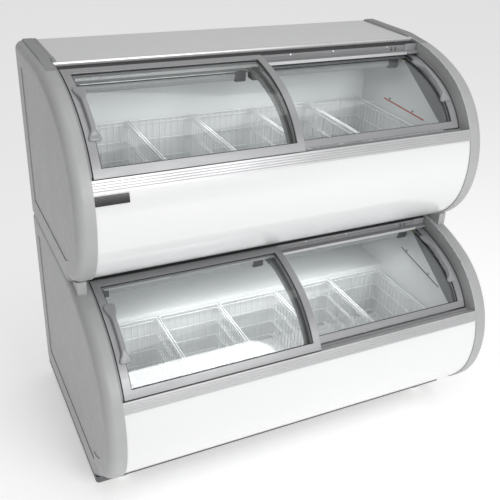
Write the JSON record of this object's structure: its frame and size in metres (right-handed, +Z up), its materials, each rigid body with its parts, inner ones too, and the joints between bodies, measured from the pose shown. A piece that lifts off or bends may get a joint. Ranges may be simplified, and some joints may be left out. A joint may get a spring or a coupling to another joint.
{
  "type": "double deck ice cream display freezer",
  "caption": "Double-deck ice cream display freezer with curved sliding glass lids, wire baskets and moulded end cheeks, on swivel casters.",
  "frame": {"origin": "on the floor, under the middle of the cabinet's bounding box", "axes": "+Z up, -Y towards the customer, +X to the customer's right"},
  "size_m": [1.5, 0.9748, 1.431],
  "materials": {
    "cheek_grey": "soft moulded grey, fine leather grain",
    "trim_grey": "darker grey moulding",
    "lid_grey": "satin grey extrusion",
    "white_panel": "gloss white powder coat",
    "liner_white": "satin white liner",
    "deck_steel": "satin light grey sheet",
    "sheet_steel": "galvanised sheet",
    "glass": "clear tempered glass, green edge",
    "handle_grey": "moulded grip",
    "lamp_white": "translucent lamp cover",
    "foam": "foamed polyurethane",
    "copper": "copper tube",
    "basket_white": "white coated wire",
    "badge_black": "blank gloss plate",
    "pan_dark": "dark grey powder coat",
    "zinc": "yellow zinc plate",
    "wheel_pale": "pale nylon",
    "black_part": "black enamel",
    "fin_alu": "bright fins",
    "black_plastic": "black moulding",
    "switch_green": "translucent green rocker"
  },
  "bodies": {
    "cabinet": {"upper_left_cheek": "cheek_grey", "upper_right_cheek": "cheek_grey", "upper_liner": "liner_white", "upper_insulation": "foam", "upper_top_sheet": "deck_steel", "upper_front_panel": "white_panel", "upper_back_sheet": "sheet_steel", "upper_bumper_rail": "lid_grey", "upper_lid_surround": "trim_grey", "upper_lamp": "lamp_white", "upper_evaporator_tube": "copper", "upper_baskets": "basket_white", "lower_left_cheek": "cheek_grey", "lower_right_cheek": "cheek_grey", "lower_liner": "liner_white", "lower_insulation": "foam", "lower_top_sheet": "deck_steel", "lower_front_panel": "white_panel", "lower_back_sheet": "sheet_steel", "lower_bumper_rail": "lid_grey", "lower_lid_surround": "trim_grey", "lower_lamp": "lamp_white", "lower_evaporator_tube": "copper", "lower_baskets": "basket_white", "upper_bottom_sheet": "sheet_steel", "top_trim_strips": "trim_grey", "unit_spacers": "cheek_grey", "badge_plate": "badge_black", "base_pan": "pan_dark", "caster_plates": "zinc", "rear_grille": "sheet_steel", "control_box": "black_plastic", "mains_gland": "black_plastic", "compressor": "black_part", "condenser": "fin_alu", "fan_motor_and_shroud": "black_part", "rear_screws": "sheet_steel"},
    "upper_lid_left": {"upper_lid_left_frame": "lid_grey", "upper_lid_left_glass": "glass", "upper_lid_left_handle": "handle_grey"},
    "upper_lid_right": {"upper_lid_right_frame": "lid_grey", "upper_lid_right_glass": "glass", "upper_lid_right_handle": "handle_grey"},
    "lower_lid_left": {"lower_lid_left_frame": "lid_grey", "lower_lid_left_glass": "glass", "lower_lid_left_handle": "handle_grey"},
    "lower_lid_right": {"lower_lid_right_frame": "lid_grey", "lower_lid_right_glass": "glass", "lower_lid_right_handle": "handle_grey"},
    "caster_front_left_swivel": {"caster_front_left_fork": "zinc"},
    "caster_front_left_roller": {"caster_front_left_wheel": "wheel_pale"},
    "caster_front_right_swivel": {"caster_front_right_fork": "zinc"},
    "caster_front_right_roller": {"caster_front_right_wheel": "wheel_pale"},
    "caster_rear_left_swivel": {"caster_rear_left_fork": "zinc"},
    "caster_rear_left_roller": {"caster_rear_left_wheel": "wheel_pale"},
    "caster_rear_right_swivel": {"caster_rear_right_fork": "zinc"},
    "caster_rear_right_roller": {"caster_rear_right_wheel": "wheel_pale"},
    "fan": {"condenser_fan": "black_plastic"},
    "knob": {"thermostat_knob": "black_plastic"},
    "switch": {"power_switch": "switch_green"}
  },
  "joints": [
    {"name": "upper_left_lid_slide", "type": "slide", "parent": "cabinet", "child": "upper_lid_left", "axis": [1, 0, 0], "range_m": [0, 0.664]},
    {"name": "upper_right_lid_slide", "type": "slide", "parent": "cabinet", "child": "upper_lid_right", "axis": [1, 0, 0], "range_m": [-0.664, 0]},
    {"name": "lower_left_lid_slide", "type": "slide", "parent": "cabinet", "child": "lower_lid_left", "axis": [1, 0, 0], "range_m": [0, 0.664]},
    {"name": "lower_right_lid_slide", "type": "slide", "parent": "cabinet", "child": "lower_lid_right", "axis": [1, 0, 0], "range_m": [-0.664, 0]},
    {"name": "caster_front_left_turn", "type": "hinge", "parent": "cabinet", "child": "caster_front_left_swivel", "pos_m": [-0.655, -0.22457, 0.055], "axis": [0, 0, 1], "continuous": true},
    {"name": "caster_front_left_roll", "type": "hinge", "parent": "caster_front_left_swivel", "child": "caster_front_left_roller", "pos_m": [-0.638, -0.22457, 0.023], "axis": [0, 1, 0], "continuous": true},
    {"name": "caster_front_right_turn", "type": "hinge", "parent": "cabinet", "child": "caster_front_right_swivel", "pos_m": [0.655, -0.22457, 0.055], "axis": [0, 0, 1], "continuous": true},
    {"name": "caster_front_right_roll", "type": "hinge", "parent": "caster_front_right_swivel", "child": "caster_front_right_roller", "pos_m": [0.672, -0.22457, 0.023], "axis": [0, 1, 0], "continuous": true},
    {"name": "caster_rear_left_turn", "type": "hinge", "parent": "cabinet", "child": "caster_rear_left_swivel", "pos_m": [-0.655, 0.40743, 0.055], "axis": [0, 0, 1], "continuous": true},
    {"name": "caster_rear_left_roll", "type": "hinge", "parent": "caster_rear_left_swivel", "child": "caster_rear_left_roller", "pos_m": [-0.638, 0.40743, 0.023], "axis": [0, 1, 0], "continuous": true},
    {"name": "caster_rear_right_turn", "type": "hinge", "parent": "cabinet", "child": "caster_rear_right_swivel", "pos_m": [0.655, 0.40743, 0.055], "axis": [0, 0, 1], "continuous": true},
    {"name": "caster_rear_right_roll", "type": "hinge", "parent": "caster_rear_right_swivel", "child": "caster_rear_right_roller", "pos_m": [0.672, 0.40743, 0.023], "axis": [0, 1, 0], "continuous": true},
    {"name": "fan_spin", "type": "hinge", "parent": "cabinet", "child": "fan", "pos_m": [-0.04, 0.37743, 0.183], "axis": [0, 1, 0], "continuous": true},
    {"name": "thermostat_turn", "type": "hinge", "parent": "cabinet", "child": "knob", "pos_m": [0.465, 0.45243, 0.31], "axis": [0, 1, 0], "range_deg": [0, 270]},
    {"name": "power_rocker", "type": "hinge", "parent": "cabinet", "child": "switch", "pos_m": [0.532, 0.44343, 0.31], "axis": [1, 0, 0], "range_deg": [0, 18]}
  ]
}
